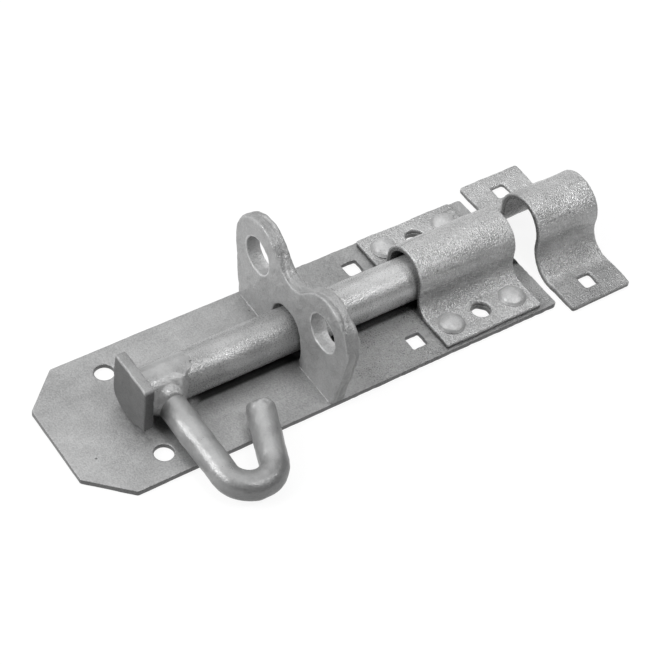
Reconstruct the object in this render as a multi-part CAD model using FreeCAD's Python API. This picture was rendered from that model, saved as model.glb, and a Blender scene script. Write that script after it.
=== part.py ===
import FreeCAD, Part
import math
import os

# Galvanised padbolt. Sizes in millimetres.
# The origin is the centre of the backplate's back face. X runs along the bolt's
# throw towards the keep, Y across the plate and Z away from the door.

# Backplate
plate_length = 200.0
plate_width = 64.2
plate_thick = 2.3
plate_clip_x = 14.9           # clipped corners at the handle end, along the plate
plate_clip_y = 14.4           # the same corners, across the plate
plate_corner_r = 2.0          # corners at the keep end

# Fixing holes in the backplate
screw_hole_d = 7.4
screw_hole_pitch = 42.8
screw_hole_inset = 31.5       # from the handle end of the plate
coach_hole_side = 6.6         # square, for the neck of a coach bolt
coach_hole_pitch = 43.0
coach_hole_inset = 59.2       # from the keep end of the plate

# Bolt rod
rod_d = 17.6
rod_plate_gap = 0.4           # running gap under the rod
rod_setback = 3.0             # the nose stops this far inside the guide strap
rod_nose_c = 1.2

# Staple: one upright plate with two ears
staple_thick = 5.8
staple_inset = 95.4           # its handle-side face, from the handle end
ear_r = 15.6
ear_pitch = 43.6
ear_height = 28.8             # ear centres above the plate
ear_hole_d = 15.0
valley_height = 32.5          # lowest point between the ears, above the plate
staple_side_gap = 0.95        # slot to rod, each side
staple_head_gap = 1.8         # slot to rod, on top

# Guide strap
strap_length = 44.5           # along the rod
strap_span = 62.0
strap_thick = 2.3
strap_inset = 7.0             # from the keep end of the plate
strap_side_gap = 0.45
strap_head_gap = 3.65
strap_foot_r = 6.0
strap_hole_d = 7.6
strap_hole_pitch = 44.0

# Rivets through strap and plate
rivet_head_d = 10.0
rivet_head_h = 2.5
rivet_shank_d = 5.0
rivet_fit = 0.05              # radial gap round the shank
rivet_pitch_x = 29.0
rivet_pitch_y = 45.0
rivet_crown_d = 5.0           # flat crown of the head

# Keep, fixed by itself on the door post
keep_length = 28.7            # along the rod
keep_span = 75.2
keep_thick = 2.5
keep_plate_gap = 4.0          # from the plate's end
keep_side_gap = 1.25
keep_head_gap = 4.9
keep_foot_r = 9.6
keep_hole_side = 6.3
keep_hole_pitch = 56.8
keep_corner_r = 1.6

# Handle: a round bar bent back into a hook
handle_d = 11.0
handle_inset = 42.9           # leg centre from the handle end of the plate
handle_reach = 43.3           # rod axis to the centre of the bend
handle_bend_r = 9.4
handle_flare = 24.5           # degrees, the return leg opens away from the leg
handle_return = 25.0
handle_tip_c = 3.0            # eased tip of the hook
handle_rest_gap = 0.3         # leg to the plate's edge when lowered

# Stop plate on the rod's end
stop_thick = 4.1
stop_leg_gap = 5.5            # between the stop plate and the handle's leg
stop_near = 13.4              # rod axis to the edge on the handle's side
stop_top = 16.4               # rod axis to the top edge
stop_far = 8.0                # rod axis to the far top corner
stop_heel = 4.5               # the near corner lies this far below the axis

# Weld that joins the handle, the rod and the stop plate
weld_gap = 0.10               # the turning pieces run this clear of the rod
weld_thick = 1.1
weld_run = 9.2                # past the leg's centre, towards the staple
weld_low = 38.0               # degrees below the leg's side of the rod
weld_high = 118.0             # degrees up and over the top

# Cutters run this far past the faces they go through
overrun = 1.0

# Positions that follow from the sizes above
plate_x0 = -plate_length / 2.0
plate_x1 = plate_length / 2.0
plate_half = plate_width / 2.0
rod_r = rod_d / 2.0
rod_z = plate_thick + rod_plate_gap + rod_r
handle_r = handle_d / 2.0
handle_x = plate_x0 + handle_inset
stop_inner_x = handle_x - handle_r - stop_leg_gap
stop_outer_x = stop_inner_x - stop_thick
rod_x0 = stop_inner_x + weld_gap
strap_x1 = plate_x1 - strap_inset
strap_x0 = strap_x1 - strap_length
strap_mid_x = (strap_x0 + strap_x1) / 2.0
rod_x1 = strap_x1 - rod_setback
staple_x0 = plate_x0 + staple_inset
keep_x0 = plate_x1 + keep_plate_gap
keep_mid_x = keep_x0 + keep_length / 2.0

# The lowered handle lies just clear of the plate's edge, so its tilt follows.
edge_drop = rod_z - plate_thick
edge_span = math.hypot(plate_half, edge_drop)
handle_tilt = math.degrees(
    math.acos((handle_r + handle_rest_gap) / edge_span) - math.atan2(plate_half, edge_drop))


def vec(x, y, z):
    return FreeCAD.Vector(x, y, z)


def line(a, b):
    return Part.LineSegment(a, b).toShape()


def arc(a, mid, b):
    return Part.Arc(a, mid, b).toShape()


def face_of(edges):
    return Part.Face(Part.Wire(edges))


def drill(x, y, z, d, thick):
    return Part.makeCylinder(d / 2.0, thick + 2.0 * overrun, vec(x, y, z - overrun))


def square_drill(x, y, z, side, thick):
    corner = vec(x - side / 2.0, y - side / 2.0, z - overrun)
    return Part.makeBox(side, side, thick + 2.0 * overrun, corner)


def both_sides(tool, x, pitch, z, size, thick):
    return [tool(x, side * pitch / 2.0, z, size, thick) for side in (-1, 1)]


def rivet_centres():
    return [(strap_mid_x + i * rivet_pitch_x / 2.0, j * rivet_pitch_y / 2.0)
            for i in (-1, 1) for j in (-1, 1)]


def rivet_drills(z, thick):
    d = rivet_shank_d + 2.0 * rivet_fit
    return [drill(x, y, z, d, thick) for x, y in rivet_centres()]


def turned(points, base, axis):
    """Solid of revolution of (radius, height) points that start and end on the axis."""
    face = Part.Face(Part.makePolygon([vec(r, 0, z) for r, z in points + points[:1]]))
    solid = face.revolve(vec(0, 0, 0), vec(0, 0, 1), 360)
    turn = FreeCAD.Rotation(vec(0, 0, 1), axis)
    solid.Placement = FreeCAD.Placement(base, turn)
    return solid


def tangent_point(px, py, cx, cy, r, turn):
    """Point where the line from P touches the circle round C."""
    reach = math.hypot(px - cx, py - cy)
    angle = math.atan2(py - cy, px - cx) + turn * math.acos(r / reach)
    return cx + r * math.cos(angle), cy + r * math.sin(angle)


def make_backplate():
    end_half = plate_half - plate_clip_y
    clip_x = plate_x0 + plate_clip_x
    outline = [vec(plate_x0, -end_half, 0), vec(clip_x, -plate_half, 0),
               vec(plate_x1, -plate_half, 0), vec(plate_x1, plate_half, 0),
               vec(clip_x, plate_half, 0), vec(plate_x0, end_half, 0)]
    face = Part.Face(Part.makePolygon(outline + outline[:1]))
    plate = face.extrude(vec(0, 0, plate_thick))
    corners = [e for e in plate.Edges
               if e.BoundBox.XMin > plate_x1 - 0.01 and e.BoundBox.YLength < 0.01]
    plate = plate.makeFillet(plate_corner_r, corners)
    cuts = both_sides(drill, plate_x0 + screw_hole_inset, screw_hole_pitch, 0.0,
                      screw_hole_d, plate_thick)
    cuts += both_sides(square_drill, plate_x1 - coach_hole_inset, coach_hole_pitch, 0.0,
                       coach_hole_side, plate_thick)
    cuts += both_sides(drill, strap_mid_x, strap_hole_pitch, 0.0, strap_hole_d, plate_thick)
    cuts += rivet_drills(0.0, plate_thick)
    return plate.cut(cuts)


def make_staple():
    ear_y = ear_pitch / 2.0
    ear_z = plate_thick + ear_height
    valley_z = plate_thick + valley_height
    # The hollow between the ears is an arc that touches both of them.
    rise = valley_z - ear_z
    hollow_r = (ear_y ** 2 + rise ** 2 - ear_r ** 2) / (2.0 * (ear_r - rise))
    hollow_z = valley_z + hollow_r
    share = ear_r / (ear_r + hollow_r)
    touch_y = ear_y * (1.0 - share)
    touch_z = ear_z + (hollow_z - ear_z) * share
    side_y, side_z = tangent_point(plate_half, plate_thick, ear_y, ear_z, ear_r, 1)
    crown_z = ear_z + ear_r
    slot_half = rod_r + staple_side_gap
    slot_z = rod_z + rod_r + staple_head_gap - slot_half

    def p(y, z):
        return vec(staple_x0, y, z)

    edges = [line(p(slot_half, plate_thick), p(plate_half, plate_thick)),
             line(p(plate_half, plate_thick), p(side_y, side_z)),
             arc(p(side_y, side_z), p(ear_y, crown_z), p(touch_y, touch_z)),
             arc(p(touch_y, touch_z), p(0, valley_z), p(-touch_y, touch_z)),
             arc(p(-touch_y, touch_z), p(-ear_y, crown_z), p(-side_y, side_z)),
             line(p(-side_y, side_z), p(-plate_half, plate_thick)),
             line(p(-plate_half, plate_thick), p(-slot_half, plate_thick)),
             line(p(-slot_half, plate_thick), p(-slot_half, slot_z)),
             arc(p(-slot_half, slot_z), p(0, slot_z + slot_half), p(slot_half, slot_z)),
             line(p(slot_half, slot_z), p(slot_half, plate_thick))]
    staple = face_of(edges).extrude(vec(staple_thick, 0, 0))
    holes = [Part.makeCylinder(ear_hole_d / 2.0, staple_thick + 2.0 * overrun,
                               vec(staple_x0 - overrun, side * ear_y, ear_z), vec(1, 0, 0))
             for side in (-1, 1)]
    return staple.cut(holes)


def omega(x0, length, span, base_z, thick, side_gap, head_gap, foot_r):
    """Strip bent up into an arch over the rod, with a flat foot on each side."""
    inner = rod_r + side_gap
    outer = inner + thick
    arch_z = rod_z + rod_r + head_gap - inner
    half = span / 2.0
    top_z = base_z + thick
    bend_y = outer + foot_r
    bend_z = top_z + foot_r
    diag = math.sqrt(0.5)

    def p(y, z):
        return vec(x0, y, z)

    def foot(side, r):
        return p(side * (bend_y - r * diag), bend_z - r * diag)

    wide = foot_r + thick
    edges = [line(p(-half, top_z), p(-bend_y, top_z)),
             arc(p(-bend_y, top_z), foot(-1, foot_r), p(-outer, bend_z)),
             line(p(-outer, bend_z), p(-outer, arch_z)),
             arc(p(-outer, arch_z), p(0, arch_z + outer), p(outer, arch_z)),
             line(p(outer, arch_z), p(outer, bend_z)),
             arc(p(outer, bend_z), foot(1, foot_r), p(bend_y, top_z)),
             line(p(bend_y, top_z), p(half, top_z)),
             line(p(half, top_z), p(half, base_z)),
             line(p(half, base_z), p(bend_y, base_z)),
             arc(p(bend_y, base_z), foot(1, wide), p(inner, bend_z)),
             line(p(inner, bend_z), p(inner, arch_z)),
             arc(p(inner, arch_z), p(0, arch_z + inner), p(-inner, arch_z)),
             line(p(-inner, arch_z), p(-inner, bend_z)),
             arc(p(-inner, bend_z), foot(-1, wide), p(-bend_y, base_z)),
             line(p(-bend_y, base_z), p(-half, base_z)),
             line(p(-half, base_z), p(-half, top_z))]
    return face_of(edges).extrude(vec(length, 0, 0))


def make_guide_strap():
    strap = omega(strap_x0, strap_length, strap_span, plate_thick, strap_thick,
                  strap_side_gap, strap_head_gap, strap_foot_r)
    cuts = both_sides(drill, strap_mid_x, strap_hole_pitch, plate_thick, strap_hole_d,
                      strap_thick)
    cuts += rivet_drills(plate_thick, strap_thick)
    return strap.cut(cuts)


def make_keep():
    keep = omega(keep_x0, keep_length, keep_span, 0.0, keep_thick,
                 keep_side_gap, keep_head_gap, keep_foot_r)
    corners = [e for e in keep.Edges if e.BoundBox.XLength + e.BoundBox.YLength < 0.01
               and abs(e.CenterOfMass.y) > keep_span / 2.0 - 0.01]
    keep = keep.makeFillet(keep_corner_r, corners)
    return keep.cut(both_sides(square_drill, keep_mid_x, keep_hole_pitch, 0.0,
                               keep_hole_side, keep_thick))


def make_rivets():
    seat = plate_thick + strap_thick
    head_r = rivet_head_d / 2.0
    shank_r = rivet_shank_d / 2.0
    top = seat + rivet_head_h
    profile = [(0, 0), (shank_r, 0), (shank_r, seat), (head_r, seat),
               (rivet_crown_d / 2.0, top), (0, top)]
    return Part.makeCompound([turned(profile, vec(x, y, 0), vec(0, 0, 1))
                              for x, y in rivet_centres()])


def make_bolt_rod():
    rod = Part.makeCylinder(rod_r, rod_x1 - rod_x0, vec(rod_x0, 0, rod_z), vec(1, 0, 0))
    nose = [e for e in rod.Edges if e.BoundBox.XMin > rod_x1 - 0.01]
    return rod.makeChamfer(rod_nose_c, nose)


def make_stop_plate():
    top = rod_z + stop_top
    heel = rod_z - stop_heel
    far_y, far_z = tangent_point(stop_far, top, 0, rod_z, rod_r, -1)
    low_y, low_z = tangent_point(-stop_near, heel, 0, rod_z, rod_r, 1)

    def p(y, z):
        return vec(stop_outer_x, y, z)

    edges = [line(p(-stop_near, heel), p(-stop_near, top)),
             line(p(-stop_near, top), p(stop_far, top)),
             line(p(stop_far, top), p(far_y, far_z)),
             arc(p(far_y, far_z), p(0, rod_z - rod_r), p(low_y, low_z)),
             line(p(low_y, low_z), p(-stop_near, heel))]
    return face_of(edges).extrude(vec(stop_thick, 0, 0))


def weld_saddle():
    """Weld metal laid over the rod between the stop plate and the staple side of the leg."""
    length = handle_x + weld_run - stop_inner_x
    start = vec(stop_inner_x, 0, rod_z)
    outer = Part.makeCylinder(rod_r + weld_thick, length, start, vec(1, 0, 0),
                              weld_low + weld_high)
    # The sector is turned so that its middle faces up on the leg's side.
    probe = outer.CenterOfMass
    found = math.degrees(math.atan2(probe.z - rod_z, -probe.y))
    wanted = (weld_high - weld_low) / 2.0
    outer.rotate(start, vec(1, 0, 0), found - wanted)
    return outer


def make_handle():
    axis = vec(handle_x, 0, rod_z)
    flare = math.radians(handle_flare)
    turn = math.pi - flare
    centre_x = handle_x + handle_bend_r

    def p(x, reach):
        return vec(x, -reach, rod_z)

    def on_bend(angle):
        return p(centre_x - handle_bend_r * math.cos(angle),
                 handle_reach + handle_bend_r * math.sin(angle))

    leg = Part.makeCylinder(handle_r, handle_reach, axis, vec(0, -1, 0))
    ring = Part.Face(Part.Wire([Part.makeCircle(handle_r, on_bend(0), vec(0, 1, 0))]))
    bend = ring.revolve(p(centre_x, handle_reach), vec(0, 0, 1), math.degrees(turn))
    back = vec(math.sin(flare), math.cos(flare), 0)
    limb = turned([(0, 0), (handle_r, 0), (handle_r, handle_return - handle_tip_c),
                   (handle_r - handle_tip_c, handle_return), (0, handle_return)],
                  on_bend(turn), back)
    hook = leg.fuse([bend, limb])
    hook.rotate(axis, vec(1, 0, 0), handle_tilt)
    bore = Part.makeCylinder(rod_r + weld_gap, plate_length * 2.0,
                             vec(-plate_length, 0, rod_z), vec(1, 0, 0))
    return hook.fuse(weld_saddle()).cut(bore).removeSplitter()


parts = {
    "backplate": make_backplate,
    "staple": make_staple,
    "guide_strap": make_guide_strap,
    "rivets": make_rivets,
    "keep": make_keep,
    "bolt_rod": make_bolt_rod,
    "handle": make_handle,
    "stop_plate": make_stop_plate,
}

os.makedirs("parts", exist_ok=True)
for name, make in parts.items():
    shape = make()
    shape.exportStep("parts/" + name + ".step")
    print(name, len(shape.Solids), "solid", round(shape.Volume, 1), "mm3", shape.isValid())
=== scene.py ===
import math

import bpy
import numpy as np
from mathutils import Euler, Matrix
from mathutils.geometry import delaunay_2d_cdt


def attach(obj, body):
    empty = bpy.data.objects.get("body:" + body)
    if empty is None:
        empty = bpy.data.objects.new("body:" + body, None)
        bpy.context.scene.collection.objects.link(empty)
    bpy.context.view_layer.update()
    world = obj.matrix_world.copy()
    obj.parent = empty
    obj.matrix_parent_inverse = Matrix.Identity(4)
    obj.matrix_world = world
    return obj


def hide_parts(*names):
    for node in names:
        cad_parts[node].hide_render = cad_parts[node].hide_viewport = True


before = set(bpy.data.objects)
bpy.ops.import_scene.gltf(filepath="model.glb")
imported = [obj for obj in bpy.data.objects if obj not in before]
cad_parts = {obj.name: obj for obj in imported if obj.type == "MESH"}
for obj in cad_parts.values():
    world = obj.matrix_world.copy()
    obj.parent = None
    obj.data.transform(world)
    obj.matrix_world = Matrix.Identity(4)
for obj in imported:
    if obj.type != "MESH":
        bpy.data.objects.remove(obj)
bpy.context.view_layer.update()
print("frame loaded:", ", ".join(sorted(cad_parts)))

mm = 0.001        # shapes are worked out in millimetres
turn = 2 * np.pi
quarter = np.pi / 2
lumpWaves = 36                # cosines in a lump field
lumpSpread = (0.7, 1.6)       # shortest and longest wave, as shares of the lump size
fewestPoints = 12             # on any closed line
cornerPoints = 14             # on a rounded corner
circlePoints = 120
squareFiner = 0.6             # step round a square hole, as a share of the sheet's step
edgePoints = 6                # on each half of a rounded sheet edge
netClear = 0.55               # room between the edge and the net, as a share of the net's pitch
chunkPoints = 200             # edge points compared with the net at a time
mergeWithin = 1e-7


# Smooth random field: the sum of cosines of each point's distance along random headings.
# Its mean is 0 and its spread about 1; size is the usual width of a lump.
def lumpField(points, size, seed):
    rng = np.random.default_rng(seed)
    heading = rng.normal(size=(lumpWaves, 3))
    heading /= np.linalg.norm(heading, axis=1)[:, None]
    pace = turn / (size * rng.uniform(*lumpSpread, lumpWaves))
    phase = rng.uniform(0, turn, lumpWaves)
    waves = np.cos(points @ (heading * pace[:, None]).T + phase)
    return waves.sum(1) / np.sqrt(lumpWaves / 2)


# Smooth step: 0 below low, 1 above high, and three t squared less two t cubed between them.
def ease(value, low, high):
    t = np.clip((value - low) / (high - low), 0, 1)
    return t * t * (3 - 2 * t)


# Quads between neighbouring points of a grid; a closed side joins its last line to its first.
def gridQuads(rows, cols, closedRows=False, closedCols=False):
    index = np.arange(rows * cols).reshape(rows, cols)
    if closedRows:
        index = np.vstack([index, index[:1]])
    if closedCols:
        index = np.hstack([index, index[:, :1]])
    corners = [index[:-1, :-1], index[:-1, 1:], index[1:, 1:], index[1:, :-1]]
    return np.stack(corners, -1).reshape(-1, 4)


# Each quad is cut into two triangles from its first corner.
def trianglesOf(quads, tris):
    return np.vstack([tris, quads[:, [0, 1, 2]], quads[:, [0, 2, 3]]])


# Normal at a point: the sum of the normals of the triangles that meet there.
def normalsAt(points, faces):
    a, b, c = (points[faces[:, k]] for k in range(3))
    flat = np.cross(b - a, c - a)
    total = np.zeros_like(points)
    for k in range(3):
        np.add.at(total, faces[:, k], flat)
    return total / np.maximum(np.linalg.norm(total, axis=1), 1e-12)[:, None]


# A shell is (points, quads, tris). A closed shell with a negative volume is turned right side out.
def facingOut(points, quads, tris):
    faces = trianglesOf(quads, tris)
    a, b, c = (points[faces[:, k]] for k in range(3))
    if (a * np.cross(b, c)).sum() < 0:
        return points, quads[:, ::-1], tris[:, ::-1]
    return points, quads, tris


# Several shells as one: each shell's indices start after the points before it.
def joined(shells):
    starts = np.cumsum([0] + [len(s[0]) for s in shells[:-1]])
    return (np.vstack([s[0] for s in shells]),
            np.vstack([s[1] + n for s, n in zip(shells, starts)]),
            np.vstack([s[2] + n for s, n in zip(shells, starts)]))


# Moves each point along its normal by lump fields, each (size, height, seed), scaled by share.
def roughened(shell, layers, share=1.0):
    points, quads, tris = shell
    lift = sum(height * lumpField(points, size, seed) for size, height, seed in layers)
    normals = normalsAt(points, trianglesOf(quads, tris))
    return points + normals * (lift * share)[:, None], quads, tris


# Makes a piece of a shell. depth, where a piece has it, is each point's place through the sheet:
# 0 at the under face, 1 at the upper.
def addPiece(name, shell, finish, body, node, depth=None):
    points, quads, tris = shell
    mesh = bpy.data.meshes.new(name)
    mesh.from_pydata((points * mm).tolist(), [], quads.tolist() + tris.tolist())
    mesh.polygons.foreach_set("use_smooth", np.ones(len(mesh.polygons), bool))
    mesh.materials.append(finish)
    if depth is not None:
        layer = mesh.attributes.new("depth", "FLOAT", "POINT")
        layer.data.foreach_set("value", depth.astype(np.float32))
    mesh.update()
    piece = bpy.data.objects.new(name, mesh)
    bpy.context.scene.collection.objects.link(piece)
    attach(piece, body)
    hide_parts(node)
    print("piece", name, len(quads) * 2 + len(tris), "triangles")


# Outlines in a plane

# Closed line resampled at an even step along its length.
def evenLoop(points, step):
    closed = np.vstack([points, points[:1]])
    run = np.concatenate([[0], np.cumsum(np.linalg.norm(np.diff(closed, axis=0), axis=1))])
    count = max(int(run[-1] / step), fewestPoints)
    at = np.arange(count) * run[-1] / count
    return np.column_stack([np.interp(at, run, closed[:, k]) for k in range(2)])


# Points on a circle from one angle to another, in radians.
def arcPoints(centre, radius, start, end, count):
    angle = np.linspace(start, end, count)
    return np.column_stack([centre[0] + radius * np.cos(angle), centre[1] + radius * np.sin(angle)])


# Polygon whose corners are arcs that touch both sides, each with its own radius. An arc's centre lies
# on the corner's middle line, at the radius over the sine of half the corner's angle.
def roundedLoop(corners, radii, step):
    corners, radii = np.asarray(corners, float), np.asarray(radii, float)
    back = np.roll(corners, 1, axis=0) - corners
    ahead = np.roll(corners, -1, axis=0) - corners
    back /= np.linalg.norm(back, axis=1)[:, None]
    ahead /= np.linalg.norm(ahead, axis=1)[:, None]
    half = np.arccos(np.clip((back * ahead).sum(1), -1, 1)) / 2
    reach = radii / np.tan(half)
    middle = (back + ahead) / np.linalg.norm(back + ahead, axis=1)[:, None]
    centres = corners + middle * (radii / np.sin(half))[:, None]
    t = np.linspace(0, 1, cornerPoints)[None, :, None]
    first = (corners + back * reach[:, None])[:, None] - centres[:, None]
    last = (corners + ahead * reach[:, None])[:, None] - centres[:, None]
    swing = first * (1 - t) + last * t
    swing *= radii[:, None, None] / np.linalg.norm(swing, axis=2)[:, :, None]
    return evenLoop((centres[:, None] + swing).reshape(-1, 2), step)


# Each pass replaces a point by half itself and a quarter of each neighbour, which rounds corners.
def softened(loop, passes):
    for _ in range(passes):
        loop = loop / 2 + (np.roll(loop, 1, axis=0) + np.roll(loop, -1, axis=0)) / 4
    return loop


# Circle as an even closed line.
def circleLoop(x, y, radius, step):
    return evenLoop(arcPoints((x, y), radius, 0, turn, circlePoints)[:-1], step)


# Square with rounded corners, as a finer closed line.
def squareLoop(x, y, side, corner, step):
    h = side / 2
    square = [(x - h, y - h), (x + h, y - h), (x + h, y + h), (x - h, y + h)]
    return roundedLoop(square, [corner] * 4, step * squareFiner)


# Twice the area in a loop, by the cross products of its neighbours; negative when it runs clockwise.
def signedArea(loop):
    nxt = np.roll(loop, -1, axis=0)
    return (loop[:, 0] * nxt[:, 1] - loop[:, 1] * nxt[:, 0]).sum()


# True where a point lies inside a loop: a ray to the right crosses it an odd number of times.
def insideLoop(points, loop):
    points, loop = points.astype(np.float32), loop.astype(np.float32)
    nxt = np.roll(loop, -1, axis=0)
    px, py = points[:, :1], points[:, 1:]
    ax, ay, bx, by = (v[None] for v in (loop[:, 0], loop[:, 1], nxt[:, 0], nxt[:, 1]))
    spans = (ay > py) != (by > py)
    cross = ax + (py - ay) * (bx - ax) / np.where(by == ay, 1e-9, by - ay)
    return (spans & (px < cross)).sum(1) % 2 == 1


# True where a point lies inside the first loop and outside the others, which are holes.
def insideSheet(points, loops):
    inside = insideLoop(points, loops[0])
    for hole in loops[1:]:
        inside &= ~insideLoop(points, hole)
    return inside


# True for the triangles of a net that lie in the sheet. Triangles that meet across a free edge share
# a label, so each region is judged once, by its largest triangle; a region open to the hull is outside.
def insideEdges(spots, faces, pairs, loops):
    # one number for an edge, whichever way round it runs
    def keyOf(ends):
        return ends.min(1) * len(spots) + ends.max(1)

    keys = keyOf(faces[:, [0, 1, 1, 2, 2, 0]].reshape(-1, 2))
    owner = np.repeat(np.arange(len(faces)), 3)
    free = ~np.isin(keys, keyOf(pairs))
    order = np.argsort(keys[free], kind="stable")
    keys, owner = keys[free][order], owner[free][order]
    twin = keys[:-1] == keys[1:]
    first, second = owner[:-1][twin], owner[1:][twin]
    label = np.arange(len(faces))
    while True:
        least = np.minimum(label[first], label[second])
        after = label.copy()
        np.minimum.at(after, first, least)
        np.minimum.at(after, second, least)
        after = after[after]
        if (after == label).all():
            break
        label = after
    alone = ~(np.append(twin, False) | np.insert(twin, 0, False))
    a, b, c = (spots[faces[:, k]] for k in range(3))
    area = np.abs((b - a)[:, 0] * (c - a)[:, 1] - (b - a)[:, 1] * (c - a)[:, 0])
    bySize = np.argsort(area)
    largest = np.zeros(len(faces), int)
    largest[label[bySize]] = bySize
    regions = np.unique(label)
    good = np.zeros(len(faces), bool)
    good[regions] = insideSheet(spots[faces[largest[regions]]].mean(1), loops)
    good[label[owner[alone]]] = False
    return good[label]


# Sheet metal: a rounded edge profile is carried along the outline and round each hole, and the two
# faces between the edges are filled over an even net of points. place turns (u, v, w) into x, y, z,
# with u and v in the sheet and w from 0 at its under face to its thickness. Gives the shell and each
# point's depth, which is w over the thickness.
def sheetShell(outer, holes, size, place):
    thick, edge, pitch = size["thick"], size["edge"], size["net"]
    loops = [outer if signedArea(outer) > 0 else outer[::-1]]
    loops += [hole if signedArea(hole) < 0 else hole[::-1] for hole in holes]
    bend = np.linspace(-quarter, 0, edgePoints)
    between = size.get("rimSteps", 0)
    steps = 2 * edgePoints + between
    flats, rims, rimQuads, lows, highs, pairs, count = [], [], [], [], [], [], 0
    for number, loop in enumerate(loops):
        if number:
            edge = size.get("holeEdge", edge)
        out = np.concatenate([np.cos(bend), np.ones(between), np.cos(bend[::-1])]) * edge
        up = np.concatenate([edge + np.sin(bend) * edge,
                             np.linspace(edge, thick - edge, between + 2)[1:-1],
                             thick - edge - np.sin(bend[::-1]) * edge])
        along = np.roll(loop, -1, axis=0) - np.roll(loop, 1, axis=0)
        along /= np.linalg.norm(along, axis=1)[:, None]
        side = np.column_stack([along[:, 1], -along[:, 0]])
        spot = loop[:, None] + side[:, None] * (out - edge)[None, :, None]
        raised = np.broadcast_to(up[None, :, None], spot.shape[:2] + (1,))
        rims.append(np.concatenate([spot, raised], 2).reshape(-1, 3))
        rimQuads.append(gridQuads(len(loop), steps, closedRows=True)[:, ::-1] + count * steps)
        flats.append(spot[:, 0])
        index = np.arange(len(loop))
        pairs.append(np.column_stack([index, np.roll(index, -1)]) + count)
        lows.append((index + count) * steps)
        highs.append((index + count) * steps + steps - 1)
        count += len(loop)
    flat, pairs, rim = np.vstack(flats), np.vstack(pairs), np.vstack(rims)
    low, high = flat.min(0) + pitch / 2, flat.max(0)
    u, v = np.meshgrid(np.arange(low[0], high[0], pitch), np.arange(low[1], high[1], pitch))
    u = u + np.where(np.arange(u.shape[0])[:, None] % 2, pitch / 4, -pitch / 4)
    net = np.column_stack([u.ravel(), v.ravel()])
    net = net[insideSheet(net, flats)]
    parts = np.array_split(flat.astype(np.float32), max(len(flat) // chunkPoints, 1))
    gap = np.min([((net[:, None].astype(np.float32) - part[None]) ** 2).sum(2).min(1)
                  for part in parts], axis=0)
    net = net[gap > (netClear * pitch) ** 2]
    spots = np.vstack([flat, net])
    faces = np.array(delaunay_2d_cdt(spots.tolist(), pairs.tolist(), [], 0, mergeWithin)[2])
    faces = faces[insideEdges(spots, faces, pairs, flats)]
    inner = len(rim) + np.arange(len(net))
    under = np.concatenate(lows + [inner])
    over = np.concatenate(highs + [inner + len(net)])
    points = np.vstack([rim, np.column_stack([net, np.zeros(len(net))]),
                        np.column_stack([net, np.full(len(net), thick)])])
    caps = np.vstack([under[faces][:, ::-1], over[faces]])
    return facingOut(place(points), np.vstack(rimQuads), caps), points[:, 2] / thick


# Round bar along a path: rings of points stand across the path, at the given radii, and each end
# closes on a point. centre is one row for each ring; side and up are too, or one row for all.
def barShell(centre, side, up, radii, count):
    side, up = np.broadcast_to(side, centre.shape), np.broadcast_to(up, centre.shape)
    angle = np.arange(count) * turn / count
    ring = np.cos(angle)[None, :, None] * side[:, None] + np.sin(angle)[None, :, None] * up[:, None]
    points = (centre[:, None] + ring * radii[:, None, None]).reshape(-1, 3)
    rings = len(centre)
    quads = gridQuads(rings, count, closedCols=True)
    points = np.vstack([points, centre[:1], centre[-1:]])
    index = np.arange(count)
    ahead = np.roll(index, -1)
    last = (rings - 1) * count
    tris = np.vstack([np.column_stack([ahead, index, np.full(count, rings * count)]),
                      np.column_stack([index + last, ahead + last, np.full(count, rings * count + 1)])])
    return facingOut(points, quads, tris)


# Galvanised finishes. Values are lengths in millimetres, linear greys and shader values. These are
# shared by all: a detail pair is a noise's detail and roughness, and a fade is a smooth step's width.
zinc = {
    "cloudDetail": (4.0, 0.6), "grainDetail": (2.0, 0.6), "softDetail": (2.0, 0.5),
    "patchTimes": 4, "patchShift": (0.3, 0.1, 0.2),
    "tint": (1, 1.004, 1.006), "pitCore": 0.4, "pitFade": 0.02, "pitDark": 0.8, "pitGrey": 0.05,
    "edgeFacing": (0.25, 0.75), "streakDetail": (1.0, 0.5), "streakStretch": (0.05, 1, 1),
    "streakShift": (0.11, 0.4, 0.6), "streakFade": 0.08, "boltShadeFade": 4, "holeFade": 0.6,
    "markCore": 0.5, "markShade": 0.15, "fleckDetail": (1.5, 0.5), "fleckTimes": 0.9,
    "fleckShift": (0.7, 0.2, 0.5), "fleckFade": 0.16, "farRough": 0.4, "bandFleck": 1.9,
    "skinMix": (0.6, 0.4), "skinFrom": (0.35, 0.65)}


# Adds a shader node: settings are its own values, and each input is set, or linked if it is a socket.
def addNode(tree, kind, inputs, **settings):
    node = tree.nodes.new("ShaderNode" + kind)
    for key, value in settings.items():
        setattr(node, key, value)
    for key, value in inputs.items():
        if isinstance(value, bpy.types.NodeSocket):
            tree.links.new(value, node.inputs[key])
        else:
            node.inputs[key].default_value = value
    return node


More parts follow.
